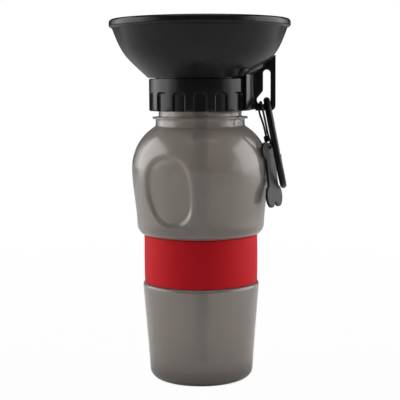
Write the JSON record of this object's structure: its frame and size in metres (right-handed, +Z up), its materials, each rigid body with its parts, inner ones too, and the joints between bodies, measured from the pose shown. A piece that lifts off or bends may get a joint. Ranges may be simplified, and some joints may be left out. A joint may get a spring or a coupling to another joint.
{
  "type": "dog travel water bottle",
  "caption": "Squeeze water bottle with a screw-on drinking bowl, a twist valve, a grip band, and a carabiner and bone-shaped tag on a keyhole bracket.",
  "frame": {"origin": "middle of the base, on the surface that the bottle stands on", "axes": "+Z up along the bottle's axis, -Y the front, +X towards the hanging bracket"},
  "size_m": [0.11, 0.11, 0.22],
  "materials": {
    "smoke_plastic": "translucent smoke-grey squeeze plastic",
    "red_silicone": "satin red silicone",
    "clear_silicone": "natural silicone",
    "black_plastic": "semi-gloss black",
    "seal_rubber": "black nitrile",
    "tube_plastic": "natural polyethylene",
    "black_enamel": "gloss black anodised",
    "bright_steel": "bright",
    "black_cord": "gloss black",
    "grey_rubber": "satin grey face with a black edge"
  },
  "bodies": {
    "bottle": {"bottle": "smoke_plastic", "grip_band": "red_silicone"},
    "seal": {"neck_gasket": "clear_silicone"},
    "lid": {"collar": "black_plastic", "tower_o_rings": "seal_rubber", "bowl_washer": "clear_silicone", "valve_cap": "black_plastic", "dip_tube": "tube_plastic"},
    "drinking_bowl": {"bowl": "black_plastic", "hang_bracket": "black_plastic"},
    "carabiner": {"carabiner_body": "black_enamel", "gate_pin": "bright_steel"},
    "gate": {"carabiner_gate": "black_enamel", "gate_spring": "bright_steel"},
    "tag": {"tag_cord": "black_cord", "cord_ferrule": "black_enamel", "bone_tag": "grey_rubber"}
  },
  "joints": [
    {"name": "lid_lift", "type": "slide", "parent": "bottle", "child": "seal", "axis": [0, 0, 1], "range_m": [0, 0.0064]},
    {"name": "lid_turn", "type": "hinge", "parent": "seal", "child": "lid", "pos_m": [0, 0, 0.18], "axis": [0, 0, 1], "range_deg": [0, 540]},
    {"name": "bowl_twist", "type": "hinge", "parent": "lid", "child": "drinking_bowl", "pos_m": [0, 0, 0.185], "axis": [0, 0, 1], "range_deg": [0, 60]},
    {"name": "carabiner_swing", "type": "hinge", "parent": "drinking_bowl", "child": "carabiner", "pos_m": [0.04065, 0, 0.171], "axis": [-0.0698, -0.9976, 0], "range_deg": [0, 35]},
    {"name": "tag_swing", "type": "hinge", "parent": "drinking_bowl", "child": "tag", "pos_m": [0.0371, 0, 0.1699], "axis": [0, -1, 0], "range_deg": [0, 31]},
    {"name": "gate_open", "type": "hinge", "parent": "carabiner", "child": "gate", "pos_m": [0.04871, 0.01507, 0.13569], "axis": [0.9786, -0.0684, 0.1942], "range_deg": [0, 25], "stiffness_Nm_per_rad": 0.02, "springref_deg": -11.46}
  ],
  "couplings": [
    {"joint": "lid_lift", "follows": "lid_turn", "m_per_rad": 0.00067377},
    {"joint": "tag_swing", "follows": "carabiner_swing", "ratio": 0.88}
  ]
}
